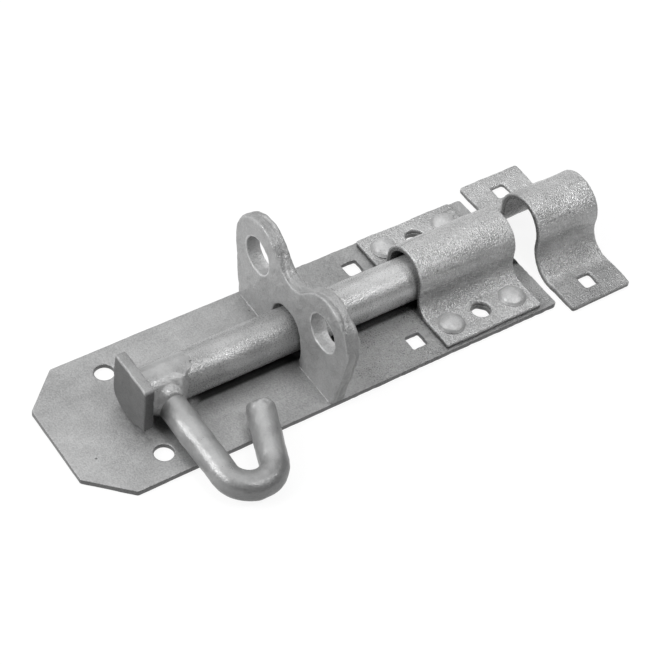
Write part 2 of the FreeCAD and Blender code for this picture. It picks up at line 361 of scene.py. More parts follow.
# The colour is a grey picked by the sum of three noises, darkened in pits and multiplied by the factors
# that the look names. Height, roughness and metal follow the same noises.
def galvanised(name, look):
    mat = bpy.data.materials.new(name)
    mat.use_nodes = True
    tree = mat.node_tree
    shader = tree.nodes["Principled BSDF"].inputs
    shader["Specular IOR Level"].default_value = look["specular"]
    where = addNode(tree, "TexCoord", {}).outputs["Object"]
    axes = addNode(tree, "SeparateXYZ", {"Vector": where}).outputs

    # noise with lumps of one size, in a space that is stretched and then shifted
    def noise(size, detail, stretch=(1, 1, 1), shift=(0, 0, 0)):
        place = addNode(tree, "Mapping", {"Vector": where, "Scale": stretch, "Location": shift})
        inputs = {"Vector": place.outputs["Vector"], "Scale": 1 / (size * mm), "Detail": detail[0],
                  "Roughness": detail[1]}
        return addNode(tree, "TexNoise", inputs).outputs["Fac"]

    # one range of values turned evenly into another, without going past its ends
    def fit(value, low, high, newLow, newHigh, kind="LINEAR"):
        inputs = {"Value": value, "From Min": low, "From Max": high, "To Min": newLow, "To Max": newHigh}
        return addNode(tree, "MapRange", inputs, interpolation_type=kind).outputs["Result"]

    # the same by a smooth step
    def soft(value, low, high, newLow, newHigh):
        return fit(value, low, high, newLow, newHigh, "SMOOTHSTEP")

    # smooth step between two places in millimetres
    def step(value, low, high, newLow, newHigh):
        return soft(value, low * mm, high * mm, newLow, newHigh)

    # one operation on two values, each a number or a socket
    def maths(operation, a, b=0.0):
        return addNode(tree, "Math", {0: a, 1: b}, operation=operation).outputs["Value"]

    # each value times its weight, added up from the last to the first
    def mixed(values, weights):
        *terms, total = (maths("MULTIPLY", value, weight) for value, weight in zip(values, weights))
        for term in reversed(terms):
            total = maths("ADD", term, total)
        return total

    # distance from the plane through the bolt's line, the same on both sides
    def offMiddle():
        return maths("ABSOLUTE", axes["Y"])

    # cloudy zinc in two sizes, with a fine grain over it
    cloud = noise(look["cloud"], zinc["cloudDetail"], look["stretch"])
    patch = noise(look["cloud"] * zinc["patchTimes"], zinc["softDetail"], shift=zinc["patchShift"])
    grain = noise(look["grain"], zinc["grainDetail"])
    tone = mixed((cloud, patch, grain), look["mix"])

    # small dark pits, each on its own cell
    cells = addNode(tree, "TexVoronoi", {"Vector": where, "Scale": 1 / (look["pitGap"] * mm)}).outputs
    pick = addNode(tree, "SeparateColor", {"Color": cells["Color"]}).outputs
    near = soft(cells["Distance"], look["pitSize"] * zinc["pitCore"], look["pitSize"], 1, 0)
    chosen = fit(pick["Red"], look["pitShare"], look["pitShare"] - zinc["pitFade"], 0, 1)
    pit = maths("MULTIPLY", near, chosen)

    ramp = addNode(tree, "ValToRGB", {"Fac": tone})
    for element, sign, grey in zip(ramp.color_ramp.elements, (-1, 1), look["greys"]):
        element.position = 0.5 + sign * look["spread"]
        element.color = tuple(grey * share for share in zinc["tint"]) + (1,)
    inputs = {"Factor": maths("MULTIPLY", pit, zinc["pitDark"]), "A": ramp.outputs["Color"],
              "B": (zinc["pitGrey"],) * 3 + (1,)}
    colour = addNode(tree, "Mix", inputs, data_type="RGBA").outputs["Result"]

    factors = []
    if "cutEdgeShade" in look:      # sheared edges, which face sideways, are darker than the faces: partly duller zinc on the cut, partly painted shade on these sideways walls
        axis, shade = look["cutEdgeShade"]
        normal = addNode(tree, "NewGeometry", {}).outputs["Normal"]
        facing = addNode(tree, "SeparateXYZ", {"Vector": normal}).outputs[axis]
        factors.append(soft(maths("ABSOLUTE", facing), *zinc["edgeFacing"], shade, 1))
    if "streak" in look:       # a few dull lines along the strip, where it was drawn
        width, least, shade = look["streak"]
        line = noise(width, zinc["streakDetail"], zinc["streakStretch"], zinc["streakShift"])
        factors.append(soft(line, least, least + zinc["streakFade"], 1, shade))
    if "underShade" in look:    # painted shade: the lower part of the sheared edge and the under face are darker than the upper skin, as a contact shadow under the strip
        low, high, shade = look["underShade"]
        depth = addNode(tree, "Attribute", {}, attribute_name="depth").outputs["Fac"]
        factors.append(soft(depth, low, high, shade, 1))
    if "along" in look:        # painted light and shade: the colour scaled up or down by a smooth step beyond one place on an axis
        axis, *band = look["along"]
        factors.append(step(axes[axis], *band))
    if "boltShadow" in look:    # painted shadow under the bolt: the plate darkened near the bolt's line, from its tail's place on
        low, high, shade, tail = look["boltShadow"]
        beyond = step(axes["X"], tail, tail + zinc["boltShadeFade"], 1, 0)
        clear = maths("MAXIMUM", step(offMiddle(), low, high, 0, 1), beyond)
        factors.append(fit(clear, 0, 1, shade, 1))
    if "paintedHoleLight" in look:    # painted light: the walls of the two ear holes brighter
        y, z, low, shade = look["paintedHoleLight"]
        across = maths("POWER", maths("SUBTRACT", offMiddle(), y * mm), 2.0)
        rise = maths("POWER", maths("SUBTRACT", axes["Z"], z * mm), 2.0)
        away = maths("SQRT", maths("ADD", across, rise))
        factors.append(step(away, low, low + zinc["holeFade"], shade, 1))
    for *spot, radius in look.get("dentShade", ()):    # painted shade: dark spots at x, y, z with a radius, the shade inside two pinholes
        inputs = {0: where, 1: [v * mm for v in spot]}
        apart = addNode(tree, "VectorMath", inputs, operation="DISTANCE").outputs["Value"]
        factors.append(step(apart, radius * zinc["markCore"], radius, zinc["markShade"], 1))
    for factor in factors:
        inputs = {0: colour, "Scale": factor}
        colour = addNode(tree, "VectorMath", inputs, operation="SCALE").outputs["Vector"]

    # orange peel and hammered grain as height, and bright flecks of bare zinc in a duller skin
    peel = noise(look["peel"], zinc["softDetail"])
    height = mixed((peel, grain), (look["peelHeight"], look["grainHeight"]))
    speck = noise(look["grain"] * zinc["fleckTimes"], zinc["fleckDetail"], shift=zinc["fleckShift"])
    fleck = soft(speck, look["fleckFrom"], look["fleckFrom"] + zinc["fleckFade"], 0, 1)
    if "roughFrom" in look:    # coarse beyond one place along the plate, and most on the handle's side
        x0, x1, y0, y1, least = look["roughFrom"]
        share = maths("MULTIPLY", step(axes["X"], x0, x1, 0, 1),
                      step(axes["Y"], y0, y1, 1, zinc["farRough"]))
        share = maths("MAXIMUM", share, least)
        height = maths("MULTIPLY", height, share)
        fleck = maths("MULTIPLY", fleck, share)
    if "roughBand" in look:    # coarser grain in the hollow bends, where the zinc gathers
        y, half, more = look["roughBand"]
        off = maths("ABSOLUTE", maths("SUBTRACT", offMiddle(), y * mm))
        height = maths("MULTIPLY", height, step(off, 0, half, more, 1))
        fleck = maths("MULTIPLY", fleck, step(off, 0, half, zinc["bandFleck"], 1))
    metal = fit(fleck, 0, 1, *look["metal"])
    skin = fit(mixed((cloud, grain), zinc["skinMix"]), *zinc["skinFrom"], *look["rough"])
    rough = maths("SUBTRACT", skin, maths("MULTIPLY", fleck, look["fleckShine"]))
    height = maths("SUBTRACT", height, maths("MULTIPLY", pit, look["pitDepth"]))
    bump = addNode(tree, "Bump", {"Strength": 1.0, "Distance": mm, "Height": height}).outputs["Normal"]
    ends = {"Base Color": colour, "Metallic": metal, "Roughness": rough, "Normal": bump}
    for key, value in ends.items():
        tree.links.new(value, shader[key])
    return mat


plain = {
    "metal": (0.26, 0.62), "fleckFrom": 0.50, "fleckShine": 0.10, "specular": 0.5,
    "cloud": 7.0, "grain": 0.62, "stretch": (0.4, 1, 1), "mix": (0.35, 0.25, 0.4), "spread": 0.13,
    "greys": (0.30, 0.45), "rough": (0.30, 0.46), "peel": 2.0, "peelHeight": 0.08,
    "grainHeight": 0.12, "pitGap": 7.0, "pitSize": 0.09, "pitShare": 0.16, "pitDepth": 0.1}
sheetLook = {
    **plain, "stretch": (0.55, 1, 1), "mix": (0.32, 0.2, 0.48), "spread": 0.12,
    "greys": (0.24, 0.40), "peelHeight": 0.16, "grainHeight": 0.55,
    # the sheet's sideways edges: darker zinc and painted shade
    "roughFrom": (-8, 20, -6, 8, 0.26), "cutEdgeShade": ("Z", 0.45),
    # painted shadow in a band under the bolt
    "boltShadow": (7.0, 8.8, 0.10, -48)}
strapLook = {
    **plain, "metal": (0.42, 0.64), "mix": (0.42, 0.28, 0.3), "greys": (0.36, 0.58),
    "peel": 1.5, "peelHeight": 0.18, "grainHeight": 0.42, "rough": (0.21, 0.34),
    # painted shade on the strip's lower edges and under face, for the strap and the keep
    "streak": (1.8, 0.63, 0.72), "roughBand": (14.5, 4.5, 1.5), "underShade": (0.50, 0.82, 0.34)}
keepLook = {
    # painted shade: the keep's near foot darker
    **strapLook, "streak": (1.8, 0.66, 0.8), "along": ("Y", -26, -20, 0.70, 1),
    "roughBand": (17.5, 5.5, 1.6)}
rivetLook = {
    **plain, "metal": (0.24, 0.5), "greys": (0.37, 0.57), "peelHeight": 0.10,
    "grainHeight": 0.16, "rough": (0.34, 0.46)}
barLook = {
    **plain, "metal": (0.32, 0.46), "mix": (0.48, 0.3, 0.22), "greys": (0.27, 0.43),
    "peel": 1.8, "peelHeight": 0.05, "grainHeight": 0.18, "rough": (0.26, 0.38)}
weldLook = {
    **barLook, "metal": (0.24, 0.34), "greys": (0.30, 0.44), "peelHeight": 0.10,
    "grainHeight": 0.11, "rough": (0.32, 0.44),
    # painted shade in the weld's two pinholes
    "dentShade": ((-46.0, -0.6, 20.4, 0.85), (-46.9, -2.4, 20.1, 0.7))}
handleLook = {
    **plain, "metal": (0.36, 0.44), "mix": (0.5, 0.35, 0.15), "greys": (0.27, 0.40),
    "peel": 3.0, "peelHeight": 0.14, "grainHeight": 0.09, "rough": (0.36, 0.46),
    # painted shade: the hook's bend darker at its far end from the bolt
    "along": ("Y", -52, -42, 0.72, 1)}
plateLook = {
    **plain, "metal": (0.20, 0.46), "greys": (0.34, 0.55), "peel": 2.6, "peelHeight": 0.22,
    # the staple's rims: darker zinc and painted shade
    "grainHeight": 0.24, "rough": (0.36, 0.52), "cutEdgeShade": ("X", 0.72),
    # painted light in the walls of the ear holes
    "paintedHoleLight": (21.8, 31.1, 7.9, 1.6), "pitShare": 0.0}
stopLook = {
    **plain, "metal": (0.16, 0.30), "greys": (0.12, 0.20), "peel": 2.6, "peelHeight": 0.08,
    # the stop plate's rims: darker zinc and painted shade
    "grainHeight": 0.16, "rough": (0.38, 0.54), "cutEdgeShade": ("X", 0.62),
    # painted light: the stop plate's top edge lighter
    "along": ("Z", 26.4, 27.4, 1, 2.6)}

sheetZinc = galvanised("sheet_zinc", sheetLook)
strapZinc = galvanised("strap_zinc", strapLook)
keepZinc = galvanised("keep_zinc", keepLook)
rivetZinc = galvanised("rivet_zinc", rivetLook)
# painted light: the bolt lighter from the staple on towards its nose
barZinc = galvanised("bar_zinc", {**barLook, "along": ("X", -2, 18, 1, 1.3)})
weldZinc = galvanised("weld_zinc", weldLook)
handleZinc = galvanised("handle_zinc", handleLook)
plateZinc = galvanised("plate_zinc", plateLook)
stopZinc = galvanised("stop_zinc", stopLook)
print("finishes made")


# Backplate: a flat sheet with clipped corners at the handle end. Lump layers are (size, height, seed);
# the grit grows by a smooth step along the plate.
backplate = {
    "length": 200.0, "width": 64.2, "thick": 2.3, "clip": (14.9, 14.4), "endCorner": 1.2,
    "clipCorner": 1.1, "screws": (-68.5, 21.4, 3.7), "squares": (40.8, 21.5, 6.6),
    "squareCorner": 0.9, "strapHoles": (70.75, 22.0, 3.8), "rivetHoles": (14.5, 22.5, 2.55),
    "edge": 0.3, "holeEdge": 0.55, "net": 0.75, "step": 0.5,
    "lumps": [(30, 0.03, 1), (7, 0.02, 2)], "grit": [(2.4, 0.045, 3)],
    "gritFrom": (-6, 18), "gritShares": (0.12, 0.88)}


def backplateShell(size):
    x, y, step = size["length"] / 2, size["width"] / 2, size["step"]
    cx, cy = size["clip"]
    corners = [(-x, cy - y), (cx - x, -y), (x, -y), (x, y), (cx - x, y), (-x, y - cy)]
    clips, ends = [size["clipCorner"]] * 2, [size["endCorner"]] * 2
    outer = roundedLoop(corners, clips + ends + clips, step)
    holes = []
    for sign in (-1, 1):
        hx, hy, r = size["screws"]
        holes.append(circleLoop(hx, sign * hy, r, step))
        hx, hy, r = size["strapHoles"]
        holes.append(circleLoop(hx, sign * hy, r, step))
        sx, sy, side = size["squares"]
        holes.append(squareLoop(sx, sign * sy, side, size["squareCorner"], step))
        dx, dy, r = size["rivetHoles"]
        holes += [circleLoop(hx + end * dx, sign * dy, r, step) for end in (-1, 1)]
    shell, _ = sheetShell(outer, holes, size, lambda p: p)
    least, more = size["gritShares"]
    coarse = least + more * ease(shell[0][:, 0], *size["gritFrom"])
    return roughened(roughened(shell, size["lumps"]), size["grit"], coarse)


addPiece("backplate_sheet", backplateShell(backplate), sheetZinc, "frame", "backplate")


# Staple: two round ears over a slot for the bolt, cut from thick plate, with a zinc bead at its foot.
staple = {
    "face": -4.6, "thick": 5.8, "earRadius": 15.6, "earY": 21.8, "earZ": 31.1, "earHole": 7.5,
    "valley": 34.8, "slotHalf": 9.75, "slotZ": 12.35, "foot": 32.1, "base": 2.3, "sink": 1.4,
    "edge": 0.9, "holeEdge": 0.5, "net": 1.0, "step": 0.5, "rimSteps": 10,
    "arcCounts": (90, 40, 50), "softPasses": 24, "lumps": [(9, 0.10, 11), (3.5, 0.05, 12)],
    "rimLumps": [(6.5, 0.10, 13), (2.6, 0.03, 14)], "rimFacing": (0.5, 0.97)}
groove = {
    "share": 0.45, "depth": 0.34, "wander": 0.9, "width": 0.55, "wanderLumps": (22, 15),
    "depthLumps": (12, 16), "depthMean": 0.75, "depthSwing": 0.6, "deepest": 1.6, "holeClear": 1.5}
bead = {
    "radius": 0.42, "rings": 60, "sides": 12, "insets": (0.6, 0.9), "swing": 0.25, "lump": 5,
    "seed": 20, "taper": 5}


# Depth of a groove that wanders along the outer rim, where the plate was sheared: a bell curve across
# the rim, times a lump field.
def grooveDepth(points, size, rimShare):
    flat = points * [0, 1, 1]
    wander = groove["wander"] * lumpField(flat, *groove["wanderLumps"])
    line = size["face"] + size["thick"] * groove["share"] + wander
    across = np.hypot(np.abs(points[:, 1]) - size["earY"], points[:, 2] - size["earZ"])
    hole = across < size["earHole"] + groove["holeClear"]
    swing = groove["depthMean"] + groove["depthSwing"] * lumpField(flat, *groove["depthLumps"])
    bell = np.exp(-((points[:, 0] - line) / groove["width"]) ** 2)
    return groove["depth"] * np.clip(swing, 0, groove["deepest"]) * bell * rimShare * ~hole


# Beads of zinc in the four corners at the foot: thin bars whose girth swings and tapers at both ends.
def footBeads(size):
    count = bead["rings"]
    ring = np.arange(float(count))
    taper = np.sqrt(ease(ring, -1, bead["taper"] - 1) * ease(-ring, -count, bead["taper"] - count))
    run = np.linspace(size["slotHalf"] + bead["insets"][0], size["foot"] - bead["insets"][1], count)
    beads = []
    for k, x in enumerate((size["face"], size["face"] + size["thick"])):
        for sign in (-1, 1):
            centre = np.column_stack([np.full(count, x), sign * run, np.full(count, size["base"])])
            swing = lumpField(centre, bead["lump"], bead["seed"] + k * 2 + sign)
            girth = bead["radius"] * (1 + bead["swing"] * swing)
            beads.append(barShell(centre, (1, 0, 0), (0, 0, 1), girth * taper, bead["sides"]))
    return beads


def stapleShell(size):
    ey, ez, er = size["earY"], size["earZ"], size["earRadius"]
    earCount, valleyCount, slotCount = size["arcCounts"]
    # the hollow between the ears touches both of them
    rise = size["valley"] - ez
    hollow = (ey ** 2 + rise ** 2 - er ** 2) / (2 * (er - rise))
    top = size["valley"] + hollow
    lean = math.atan2(top - ez, -ey)
    # the straight side runs from the foot to where it touches the ear
    reach = math.hypot(size["foot"] - ey, size["base"] - ez)
    touch = math.atan2(size["base"] - ez, size["foot"] - ey) + math.acos(er / reach)
    right = arcPoints((ey, ez), er, touch, lean, earCount)
    middle = arcPoints((0, top), hollow, lean + np.pi - turn, -lean, valleyCount)
    left = right[::-1] * [-1, 1]
    low = size["base"] - size["sink"]
    slot = arcPoints((0, size["slotZ"]), size["slotHalf"], np.pi, 0, slotCount)
    outline = np.vstack([[(size["slotHalf"], low), (size["foot"], low)], right, middle[1:-1], left,
                         [(-size["foot"], low), (-size["slotHalf"], low)], slot])
    outer = softened(evenLoop(outline, size["step"]), size["softPasses"])
    holes = [circleLoop(sign * ey, ez, size["earHole"], size["step"]) for sign in (-1, 1)]
    body, _ = sheetShell(outer, holes, size,
                         lambda p: np.column_stack([size["face"] + p[:, 2], p[:, 0], p[:, 1]]))
    faces = trianglesOf(body[1], body[2])
    rimShare = 1 - ease(np.abs(normalsAt(body[0], faces)[:, 0]), *size["rimFacing"])
    points, quads, tris = roughened(roughened(body, size["lumps"]), size["rimLumps"], rimShare)
    cut = grooveDepth(points, size, rimShare)
    return joined([(points - normalsAt(points, faces) * cut[:, None], quads, tris)] + footBeads(size))


addPiece("staple_plate", stapleShell(staple), plateZinc, "frame", "staple")


# Strip bent into an arch with a flat foot each side. u runs across the unrolled strip from the crest,
# v along the bolt, and w out of the sheet: first the arch, then a straight drop, the foot bend, the foot.
def archPlace(p, size):
    t = size["thick"]
    arch, bendR = size["inner"] + t / 2, size["footBend"] + t / 2
    outer = size["inner"] + t
    bendY, bendZ = outer + size["footBend"], size["base"] + t + size["footBend"]
    s, sign = np.abs(p[:, 0]), np.where(p[:, 0] < 0, -1.0, 1.0)
    run1 = arch * np.pi / 2
    run2 = run1 + size["archZ"] - bendZ
    run3 = run2 + bendR * np.pi / 2
    a = np.clip(s, 0, run1) / arch
    b = (np.clip(s, run2, run3) - run2) / bendR
    bent = s > run2
    drop = np.clip(s, run1, run2) - run1
    y = np.where(bent, bendY - bendR * np.cos(b), arch * np.sin(a)) + np.maximum(s - run3, 0)
    z = np.where(bent, bendZ - bendR * np.sin(b), size["archZ"] + arch * np.cos(a) - drop)
    ny, nz = np.where(bent, np.cos(b), np.sin(a)), np.where(bent, np.sin(b), np.cos(a))
    w = p[:, 2] - t / 2
    return np.column_stack([p[:, 1], sign * (y + ny * w), z + nz * w])


# Distance across the unrolled strip from the crest to a place y on the foot.
def footRun(y, size):
    t = size["thick"]
    bendY = size["inner"] + t + size["footBend"]
    bendZ = size["base"] + t + size["footBend"]
    bends = (size["inner"] + t / 2 + size["footBend"] + t / 2) * np.pi / 2
    return (bends + size["archZ"] - bendZ) + y - bendY


# Arched strip with holes, cut as a rectangle with rounded corners and bent by archPlace.
def archShell(size, holes):
    reach = footRun(size["span"] / 2, size)
    x0, x1 = size["ends"]
    outer = roundedLoop([(-reach, x0), (reach, x0), (reach, x1), (-reach, x1)], [size["corner"]] * 4,
                        size["step"])
    shell, depth = sheetShell(outer, holes, size, lambda p: archPlace(p, size))
    return roughened(shell, size["lumps"]), depth


# Guide strap: an arched strip over the bolt, with round holes for screws and rivets.
guideStrap = {
    "ends": (48.5, 93.0), "span": 62.0, "thick": 2.3, "inner": 9.25, "archZ": 14.7,
    "footBend": 6.0, "base": 2.3, "corner": 0.8, "screws": (70.75, 22.0, 3.8),
    "rivets": (14.5, 22.5, 2.55), "edge": 0.42, "holeEdge": 0.85, "net": 0.5, "step": 0.4,
    "lumps": [(16, 0.09, 31), (5, 0.035, 32), (1.6, 0.018, 33)]}


def guideStrapShell(size):
    step, holes = size["step"], []
    for sign in (-1, 1):
        hx, hy, r = size["screws"]
        holes.append(circleLoop(sign * footRun(hy, size), hx, r, step))
        dx, dy, r = size["rivets"]
        holes += [circleLoop(sign * footRun(dy, size), hx + end * dx, r, step) for end in (-1, 1)]
    return archShell(size, holes)


strapShell, strapDepth = guideStrapShell(guideStrap)
addPiece("guide_strap_sheet", strapShell, strapZinc, "frame", "guide_strap", strapDepth)


# Keep: an arched strip by itself, with square holes.
keep = {
    "ends": (104.0, 132.7), "span": 75.2, "thick": 2.5, "inner": 10.05, "archZ": 15.15,
    "footBend": 9.6, "base": 0.0, "corner": 1.0, "squares": (118.35, 28.4, 6.3), "squareCorner": 0.9,
    "edge": 0.45, "holeEdge": 1.0, "net": 0.5, "step": 0.4,
    "lumps": [(16, 0.09, 41), (5, 0.035, 42), (1.6, 0.018, 43)]}


def keepShell(size):
    hx, hy, side = size["squares"]
    return archShell(size, [squareLoop(sign * footRun(hy, size), hx, side, size["squareCorner"], size["step"])
                            for sign in (-1, 1)])


keepSheet, keepDepth = keepShell(keep)
addPiece("keep_sheet", keepSheet, keepZinc, "frame", "keep", keepDepth)


# Rivets: a low dome on a shank, with a thin skirt of zinc. The dome's radius falls as a cosine while
# its height rises as a power of the sine. Shank rows are (radius, height); skirt rows are beyond the head.
rivets = {
    "mid": 70.75, "half": (14.5, 22.5), "headRadius": 5.0, "headHeight": 2.45, "shank": 2.5,
    "shankFoot": (0.6, 0.25), "footHeights": (0, 0.02, 0.25), "seat": 4.6,
    "skirtRadii": (0.2, 0.45, 0.28, 0.12), "skirtHeights": (0, 0.03, 0.12, 0.30),
    "domeFrom": 0.45, "domePower": 1.2, "domeRings": 12, "crown": 0.35, "sides": 48,
    "lump": (5, 0.06), "seed": 51, "lumpFade": 0.8}


def rivetShell(size):
    seat, shank, tall = size["seat"], size["shank"], size["headHeight"]
    t = np.linspace(0, 1, size["domeRings"])[1:-1]
    share, inset = size["shankFoot"]
    radius = np.concatenate([[shank * share, shank - inset, shank, shank],
                             size["headRadius"] + np.array(size["skirtRadii"]),
                             size["headRadius"] * np.cos(t * np.pi / 2), [size["crown"]]])
    dome = (tall - size["domeFrom"]) * np.sin(t * np.pi / 2) ** size["domePower"]
    height = np.concatenate([size["footHeights"], [seat], seat + np.array(size["skirtHeights"]),
                             seat + size["domeFrom"] + dome, [seat + tall]])
    n = len(radius)
    shells = []
    for i in (-1, 1):
        for j in (-1, 1):
            x, y = size["mid"] + i * size["half"][0], j * size["half"][1]
            centre = np.column_stack([np.full(n, x), np.full(n, y), height])
            shell = barShell(centre, (1, 0, 0), (0, 1, 0), radius, size["sides"])
            fade = ease(shell[0][:, 2], seat, seat + size["lumpFade"])
            shells.append(roughened(shell, [(*size["lump"], size["seed"] + 2 * i + j)], fade))
    return joined(shells)


addPiece("rivet_heads", rivetShell(rivets), rivetZinc, "frame", "rivets")


# Bolt: rings along the bolt's line, drawn in at the nose and the tail by rounded corners.
bolt = {
    "ends": (-68.0, 90.0), "radius": 8.8, "axisZ": 11.5, "nose": 1.6, "tail": 0.4,
    "bodyInsets": (1.0, 0.6), "bodyRings": 260, "cornerRings": 8, "tailRadii": (0.4, 5.0),
    "noseRadii": (4.0, 0.4), "sides": 96,
    "lumps": [(16, 0.018, 61), (4, 0.012, 62), (1.8, 0.006, 63)]}


def boltShell(size):
    x0, x1 = size["ends"]
    nose, tail, r = size["nose"], size["tail"], size["radius"]
    corner = np.linspace(0, quarter, size["cornerRings"])
    body = np.linspace(x0 + size["bodyInsets"][0], x1 - nose - size["bodyInsets"][1], size["bodyRings"])
    x = np.concatenate([[x0, x0], x0 + tail * (1 - np.cos(corner)), body,
                        x1 - nose * (1 - np.sin(corner)), [x1, x1]])
    radius = np.concatenate([size["tailRadii"], r - tail * (1 - np.sin(corner)), np.full(len(body), r),
                             r - nose * (1 - np.cos(corner)), size["noseRadii"]])
    n = len(x)
    centre = np.column_stack([x, np.zeros(n), np.full(n, size["axisZ"])])
    return roughened(barShell(centre, (0, 1, 0), (0, 0, 1), radius, size["sides"]), size["lumps"])


addPiece("bolt_bar", boltShell(bolt), barZinc, "bolt", "bolt_rod")


# Handle: a bar down the leg, round the bend and back up the limb. Ring places are (along X, out from
# the bolt) and the whole lies in a plane tipped down about the bolt's axis. The root follows the bolt's skin.
handle = {
    "x": -57.1, "axisZ": 11.5, "radius": 5.5, "reach": 43.3, "bend": 9.4, "flare": 22.5,
    "limb": 25.0, "tip": 2.8, "tilt": 5.98, "skin": 8.9, "lean": 2.7, "leanFrom": 48.0,
    "blunt": 3.0, "tipRadius": 0.25, "legRings": 44, "bendRings": 60, "limbRings": 24,
    "tipRings": 11, "sides": 56, "hugFade": 14, "lumps": [(9, 0.07, 71), (3.5, 0.03, 72)],
    "lumpsFrom": (12, 18), "tipLumps": [(2.4, 0.24, 73)], "tipFade": (4.5, 8.0)}


def handleShell(size):
    flare, tilt, lean = (math.radians(size[key]) for key in ("flare", "tilt", "lean"))
    bend, skin, tip, legRings = size["bend"], size["skin"], size["tip"], size["legRings"]
    sweep = np.pi - flare
    cx = size["x"] + bend
    a = np.linspace(0, sweep, size["bendRings"])[1:-1]
    endX, endQ = cx - bend * math.cos(sweep), size["reach"] + bend * math.sin(sweep)
    dome = np.sin(np.linspace(0, quarter, size["tipRings"])[1:])
    limb = size["limb"] - tip
    t = np.concatenate([np.linspace(0, limb, size["limbRings"]), limb + tip * dome])
    q = np.concatenate([np.linspace(skin, size["reach"], legRings), size["reach"] + bend * np.sin(a),
                        endQ - t * math.cos(flare)])
    x = np.concatenate([np.full(legRings, size["x"]), cx - bend * np.cos(a), endX + t * math.sin(flare)])
    # the hook leans about a line across its bend
    x = x - math.tan(lean) * (size["leanFrom"] - q)
    heading = np.concatenate([np.zeros(legRings), a, np.full(len(t), sweep)]) - lean
    radii = np.full(len(x), size["radius"])
    blunt = np.clip((t - size["limb"] + tip) / tip, 0, 1)
    radii[-len(t):] = size["radius"] * (1 - blunt ** size["blunt"]) ** (1 / size["blunt"])
    radii[-1] = size["tipRadius"]
    outward = np.array([0, -math.cos(tilt), -math.sin(tilt)])
    up = np.array([0, -math.sin(tilt), math.cos(tilt)])
    across = np.array([1.0, 0, 0])
    side = np.cos(heading)[:, None] * across - np.sin(heading)[:, None] * outward
    base = np.array([0, 0, size["axisZ"]])
    centre = base + x[:, None] * across + q[:, None] * outward
    points, quads, tris = barShell(centre, side, up, radii, size["sides"])
    # near the root each ring bows onto the bolt's skin, less and less with distance
    lift = (points - base) @ up
    far = (points - base) @ outward
    hug = np.sqrt(np.maximum(skin ** 2 - np.minimum(lift ** 2, skin ** 2 - 1), 1)) - skin
    fade = 1 - ease(far, skin, skin + size["hugFade"])
    points = points + (hug * fade)[:, None] * outward
    shell = roughened((points, quads, tris), size["lumps"], ease(far, *size["lumpsFrom"]))
    tipShare = 1 - ease(np.linalg.norm(points - centre[-1], axis=1), *size["tipFade"])
    return roughened(shell, size["tipLumps"], tipShare)


addPiece("handle_bar", handleShell(handle), handleZinc, "handle", "handle")


# Weld: a coat over the bolt's skin. Its height is a function of the angle round the bolt and the place
# along it: an even coat that thins to nothing at a slanting ragged frontier, a lumpy lip beside the
# frontier, a collar that falls off with distance from the leg, and small round dents.
weld = {
    "grid": (150, 120), "ends": (-68.1, -43.4), "angles": (-40.0, 121.0), "axisZ": 11.5, "base": 8.7,
    "coat": 1.05, "coatLumps": ((0.08, 9, 82), (0.02, 2.6, 83)), "feather": 5.5,
    "featherShares": (0.5, 1.5), "unroll": 10, "frontierInset": 0.4, "frontierLumps": (0.5, 9, 81),
    "slant": 8.0, "slantAngles": (30, 88), "aboveAngles": (45, 75), "lip": 0.16, "lipFrom": 2.2,
    "lipWidth": 1.6, "lipMean": 0.6, "lipLumps": (0.9, 2.6, 84), "lipAbove": 0.8, "legX": -58.9,
    "legAngle": -5.98, "legRadius": 5.5, "collar": 1.5, "collarFade": (-0.8, 2.4), "rimSharp": 6,
    "dents": ((-46.0, 86.0), (-46.9, 74.0)), "dentRadius": 0.6, "dentDepth": 0.12, "dentArm": 9.5,
    "least": 0.02}


